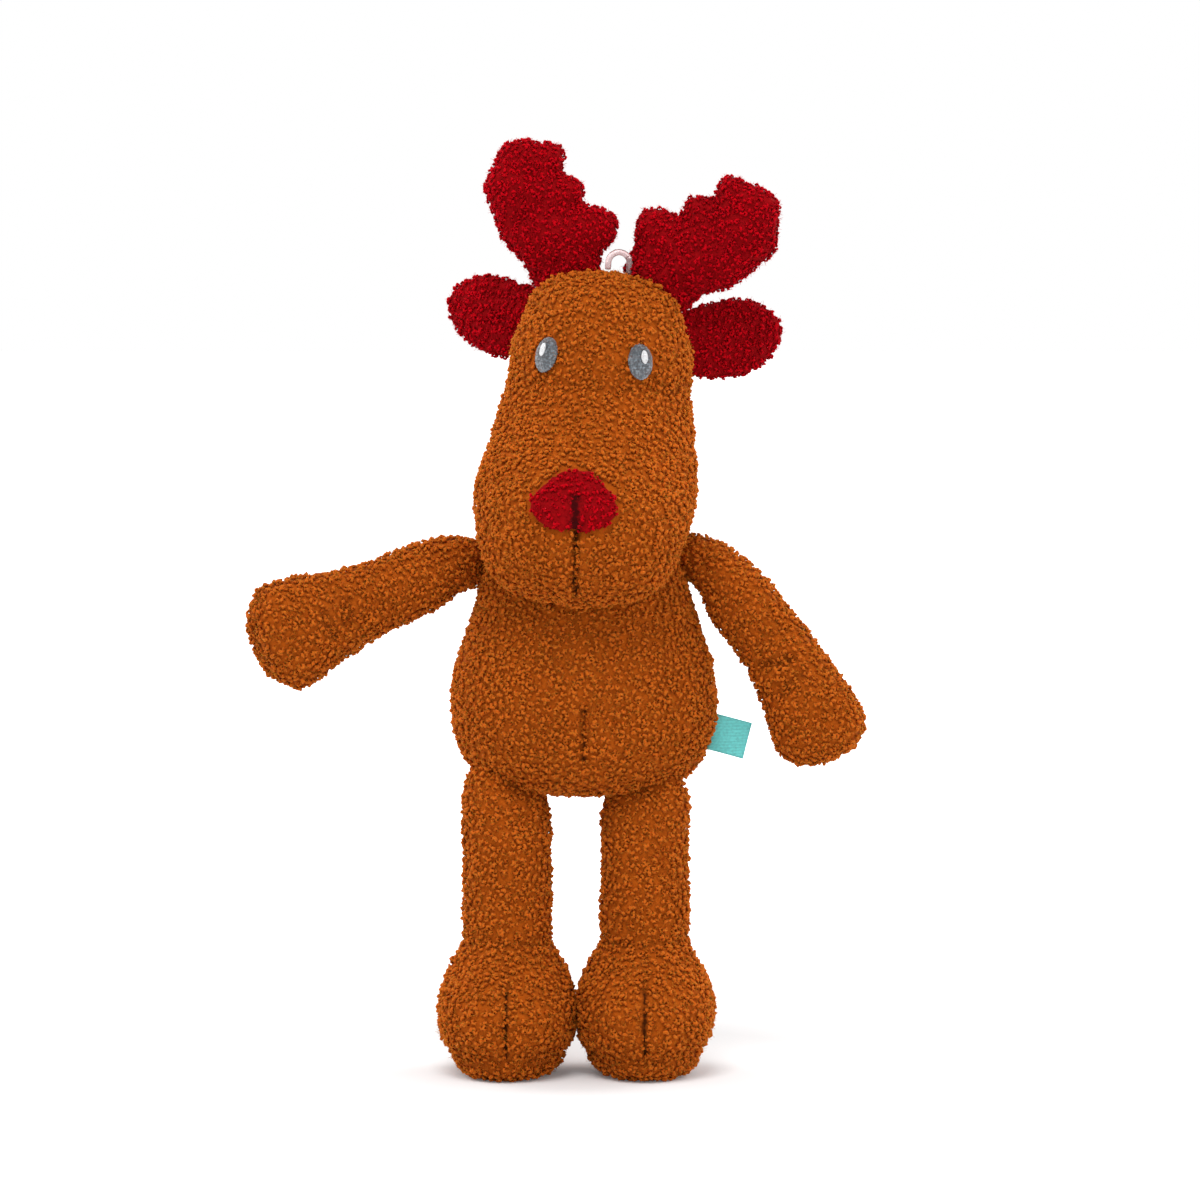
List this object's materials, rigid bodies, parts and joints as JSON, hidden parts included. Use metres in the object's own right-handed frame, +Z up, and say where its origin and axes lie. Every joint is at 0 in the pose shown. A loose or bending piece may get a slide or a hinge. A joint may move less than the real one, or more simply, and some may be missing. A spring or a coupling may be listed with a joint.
{
  "type": "plush deer",
  "caption": "Soft standing deer sewn from curly-pile fabric over loose filling, with stuffed antlers, flat ears, jointed arms and legs, a side label and a hanging loop.",
  "frame": {"origin": "middle of the toy's outer box in plan, on the surface that its soles stand on", "axes": "+Z up, along the toy's height; the toy faces -Y; its own left side is +X"},
  "size_m": [0.251, 0.1152, 0.3788],
  "materials": {
    "brown_pile": "curly looped pile, matt",
    "crimson_pile": "short brushed pile, soft sheen",
    "filling": "loose white fibre",
    "grey_thread": "satin stitch, speckled grey",
    "white_thread": "satin stitch",
    "teal_tape": "woven satin tape",
    "clear_cord": "clear, faintly pink"
  },
  "bodies": {
    "torso": {"body_front_cover": "brown_pile", "body_back_cover": "brown_pile", "body_stuffing": "filling"},
    "head": {"forehead_cover": "brown_pile", "muzzle_cover": "brown_pile", "head_back_cover": "brown_pile", "head_stuffing": "filling", "nose_patch": "crimson_pile", "right_eye": "grey_thread", "right_eye_glint": "white_thread", "left_eye": "grey_thread", "left_eye_glint": "white_thread"},
    "right_arm": {"right_arm_front_cover": "brown_pile", "right_arm_back_cover": "brown_pile", "right_arm_stuffing": "filling"},
    "right_leg": {"right_shin_cover": "brown_pile", "right_foot_outer_cover": "brown_pile", "right_foot_inner_cover": "brown_pile", "right_foot_sole": "brown_pile", "right_leg_stuffing": "filling"},
    "right_ear": {"right_ear_front_cover": "crimson_pile", "right_ear_back_cover": "crimson_pile"},
    "right_antler": {"right_antler_front_cover": "crimson_pile", "right_antler_back_cover": "crimson_pile", "right_antler_stuffing": "filling"},
    "left_arm": {"left_arm_front_cover": "brown_pile", "left_arm_back_cover": "brown_pile", "left_arm_stuffing": "filling"},
    "left_leg": {"left_shin_cover": "brown_pile", "left_foot_outer_cover": "brown_pile", "left_foot_inner_cover": "brown_pile", "left_foot_sole": "brown_pile", "left_leg_stuffing": "filling"},
    "left_ear": {"left_ear_front_cover": "crimson_pile", "left_ear_back_cover": "crimson_pile"},
    "left_antler": {"left_antler_front_cover": "crimson_pile", "left_antler_back_cover": "crimson_pile", "left_antler_stuffing": "filling"},
    "label": {"side_label": "teal_tape"},
    "loop": {"hanging_loop": "clear_cord"}
  },
  "joints": [
    {"name": "head_turn", "type": "hinge", "parent": "torso", "child": "head", "pos_m": [0.01024, 0.01373, 0.20615], "axis": [0, 0, 1], "range_deg": [-20, 20], "stiffness_Nm_per_rad": 0.05},
    {"name": "right_arm_raise", "type": "hinge", "parent": "torso", "child": "right_arm", "pos_m": [-0.03977, 0.01073, 0.20569], "axis": [0, 1, 0], "range_deg": [-40, 50]},
    {"name": "left_arm_raise", "type": "hinge", "parent": "torso", "child": "left_arm", "pos_m": [0.0608, 0.01073, 0.20347], "axis": [0, 1, 0], "range_deg": [-82, 8]},
    {"name": "right_leg_swing", "type": "hinge", "parent": "torso", "child": "right_leg", "pos_m": [-0.02076, -0.00027, 0.1075], "axis": [-1, 0, 0], "range_deg": [-15, 75]},
    {"name": "left_leg_swing", "type": "hinge", "parent": "torso", "child": "left_leg", "pos_m": [0.03484, -0.00027, 0.1075], "axis": [-1, 0, 0], "range_deg": [-15, 75]},
    {"name": "right_ear_flap", "type": "hinge", "parent": "head", "child": "right_ear", "pos_m": [-0.01621, 0.03011, 0.30248], "axis": [0.1922, -0.103, 0.9759], "range_deg": [-25, 25], "stiffness_Nm_per_rad": 0.003},
    {"name": "left_ear_flap", "type": "hinge", "parent": "head", "child": "left_ear", "pos_m": [0.05646, 0.02169, 0.29421], "axis": [0.1239, 0.0873, -0.9884], "range_deg": [-25, 25], "stiffness_Nm_per_rad": 0.003},
    {"name": "right_antler_flop", "type": "hinge", "parent": "head", "child": "right_antler", "pos_m": [0.00296, 0.01758, 0.32985], "axis": [0.9422, -0.1074, 0.3173], "range_deg": [-20, 20], "stiffness_Nm_per_rad": 0.01},
    {"name": "left_antler_flop", "type": "hinge", "parent": "head", "child": "left_antler", "pos_m": [0.04493, 0.0128, 0.32465], "axis": [-0.6712, 0.0765, 0.7373], "range_deg": [-20, 20], "stiffness_Nm_per_rad": 0.01},
    {"name": "label_flap", "type": "hinge", "parent": "torso", "child": "label", "pos_m": [0.06438, 0.01373, 0.13641], "axis": [0.248, 0, 0.9688], "range_deg": [-30, 60], "stiffness_Nm_per_rad": 0.0002},
    {"name": "loop_fold", "type": "hinge", "parent": "head", "child": "loop", "pos_m": [0.02425, 0.01213, 0.3246], "axis": [0.9912, -0.1129, -0.0698], "range_deg": [-50, 50], "stiffness_Nm_per_rad": 0.0001}
  ]
}
